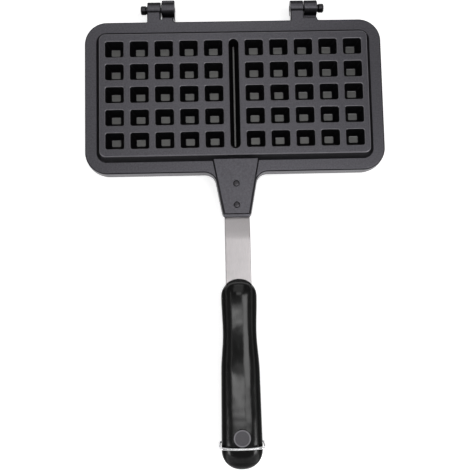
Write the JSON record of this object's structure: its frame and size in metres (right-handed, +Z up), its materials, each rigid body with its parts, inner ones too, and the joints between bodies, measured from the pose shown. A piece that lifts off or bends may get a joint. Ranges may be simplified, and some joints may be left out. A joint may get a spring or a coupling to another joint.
{
  "type": "stovetop waffle iron",
  "caption": "Stovetop waffle iron with hinged peg-grid plates, riveted steel straps, long plastic grips and a wire bail that latches the grips together.",
  "frame": {"origin": "bottom centre of the whole iron's bounding box, closed and latched", "axes": "+Y from the grips to the hinge, +X to the right when the grips are nearest, +Z up through the upper half"},
  "size_m": [0.235, 0.3677, 0.0353],
  "materials": {
    "coated_aluminium": "satin dark grey non-stick coating",
    "brushed_steel": "brushed lengthways",
    "black_plastic": "glossy",
    "matte_plastic": "matte",
    "dark_steel": "dull",
    "chrome_wire": "polished"
  },
  "bodies": {
    "lower half": {"lower_plate": "coated_aluminium", "lower_strap": "brushed_steel", "lower_strap_rivet_front": "dark_steel", "lower_strap_rivet_rear": "dark_steel", "lower_grip": "black_plastic", "lower_grip_screw": "dark_steel", "lower_grip_cap": "matte_plastic", "hinge_pin_left": "dark_steel"},
    "upper half": {"upper_plate": "coated_aluminium", "upper_strap": "brushed_steel", "upper_strap_rivet_front": "dark_steel", "upper_strap_rivet_rear": "dark_steel", "upper_grip": "black_plastic", "upper_grip_screw": "dark_steel", "upper_grip_cap": "matte_plastic", "hinge_pin_right": "dark_steel"},
    "latch": {"latch_bail": "chrome_wire"}
  },
  "joints": [
    {"name": "lid_hinge", "type": "hinge", "parent": "lower half", "child": "upper half", "pos_m": [0, 0.17626, 0.01745], "axis": [-1, 0, 0], "range_deg": [0, 180]},
    {"name": "bail_swing", "type": "hinge", "parent": "lower half", "child": "latch", "pos_m": [0, -0.16506, 0.01195], "axis": [1, 0, 0], "range_deg": [0, 225]}
  ]
}
